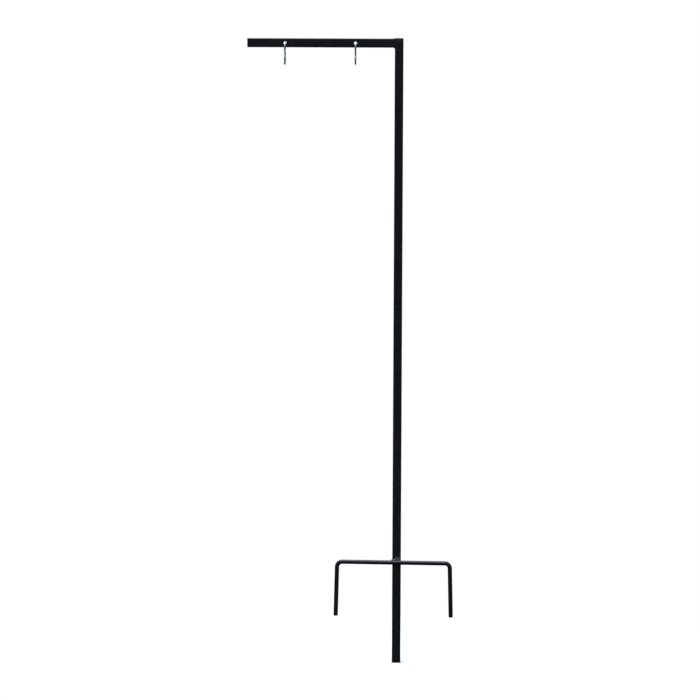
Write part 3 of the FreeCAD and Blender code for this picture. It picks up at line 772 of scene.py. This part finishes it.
lower_blobs = []
for index in range(LOWER_LUMPS):
    swell = 1 + 0.10 * math.sin(index * 1.7)
    x = LOWER_START + LOWER_PITCH * index
    centre = Vector((x, front_face - LOWER_PROUD, bar_middle.z - LOWER_DROP))
    lower_blobs.append((centre, (0.0024, 0.0026 * swell, 0.0022 * swell), LOWER_LEAN))
lower_bead = blob_chain("lower_bead", lower_blobs, ripple=0.00012, seed=7.0)
mark_edges(lower_bead, lambda vert: 0.2)
finish_piece(
    "step_bar_lower_weld_metal", lower_bead, weld_coat, "frame", "coated_weld", "step_bar_lower_weld"
)

# ------------------------------------------------------------------------------------------------------
# S-hooks: 3/16 inch steel wire, cut and bent to two equal loops, zinc plated.  Each hangs with its upper
# loop through the arm's two holes and its closed side to the front.
# ------------------------------------------------------------------------------------------------------
WIRE_RADIUS = 0.00238
LOOP_RADIUS = 0.01678
LOOP_SWEEP = math.radians(290)
WIRE_SIDES = 40
WIRE_STEPS = 150
TIP_ROUND = 0.0010
# The drawing lines are noise on the unrolled wire: this fast along it, and this fast round it.
LINES_ALONG = 90
LINES_ROUND = 9
ZINC_BLUISH = (0.72, 0.79, 0.89)
ZINC_BRIGHT = (0.88, 0.91, 0.95)
ZINC_DULL = (0.50, 0.54, 0.60)

zinc, nodes, output = new_material("zinc_plated_wire")
place = nodes.add("ShaderNodeTexCoord").outputs["Object"]
lay = nodes.add("ShaderNodeAttribute", {"attribute_name": "lay"}).outputs["Vector"]
draw_lines = nodes.noise(lay, 1.0, 3.0, 0.6)
blotch = nodes.noise(place, 420.0, 3.0, 0.6)
spangle = nodes.noise(place, 1500.0, 2.0)
tone = nodes.blend(nodes.span(blotch, 0.35, 0.7), ZINC_BLUISH, ZINC_BRIGHT)
dulled = nodes.blend(nodes.span(draw_lines, 0.55, 0.75, 0.0, 0.45), tone, ZINC_DULL)
line_gloss = nodes.span(draw_lines, 0.4, 0.8, 0.0, 0.12)
gloss = nodes.math("ADD", nodes.span(blotch, 0.3, 0.7, 0.32, 0.44), line_gloss)
line_bump = nodes.add("ShaderNodeBump", Strength=0.35, Distance=0.00004, Height=draw_lines).outputs[0]
skin_bump = nodes.add(
    "ShaderNodeBump", Strength=0.12, Distance=0.00005, Height=spangle, Normal=line_bump
).outputs[0]
shader = nodes.add("ShaderNodeBsdfPrincipled", Base_Color=dulled, Roughness=gloss, Normal=skin_bump)
shader.inputs["Metallic"].default_value = 1.0
nodes.tree.links.new(shader.outputs[0], output.inputs["Surface"])


def hook_wire(axis):
    """The S of wire about the centre of its upper loop, from the back tip to the front one."""
    shape = bmesh.new()
    lay = shape.verts.layers.float_vector.new("lay")
    middle = Vector((0, -LOOP_RADIUS))
    stations = []
    for step in range(-WIRE_STEPS, WIRE_STEPS + 1):
        turn = LOOP_SWEEP * abs(step) / WIRE_STEPS
        upper = step < 0
        # Away from the middle of the S, the upper loop runs towards the front and the lower to the back.
        point = Vector((-LOOP_RADIUS * math.sin(turn), LOOP_RADIUS * (1 - math.cos(turn))))
        heading = Vector((math.cos(turn), -math.sin(turn)))
        if not upper:
            point = -point
        stations.append((middle + point, heading, LOOP_RADIUS * turn * (-1 if upper else 1)))
    last = len(stations) - 1
    rings = []
    for index, (point, heading, along) in enumerate(stations):
        side = Vector((-heading.y, heading.x))
        from_tip = min(index, last - index) * LOOP_RADIUS * LOOP_SWEEP / WIRE_STEPS
        radius = WIRE_RADIUS
        if from_tip < TIP_ROUND:
            radius -= TIP_ROUND - math.sqrt(TIP_ROUND**2 - (TIP_ROUND - from_tip) ** 2)
        verts = []
        for step in range(WIRE_SIDES):
            angle = 2 * math.pi * step / WIRE_SIDES
            spot = point + side * radius * math.cos(angle)
            vert = shape.verts.new(axis + Vector((radius * math.sin(angle), spot.x, spot.y)))
            round_wire = (math.cos(angle) * LINES_ROUND, math.sin(angle) * LINES_ROUND)
            vert[lay] = Vector((along * LINES_ALONG, *round_wire))
            verts.append(vert)
        rings.append(verts)
    join_rings(shape, rings, ends=True)
    return shape


for hook in HOOKS:
    body = f"{hook}_hook"
    wire = hook_wire(hook_axes[body])
    finish_piece(f"s_hook_{hook}_wire", wire, zinc, body, "zinc_wire", f"s_hook_{hook}", sharp=40)
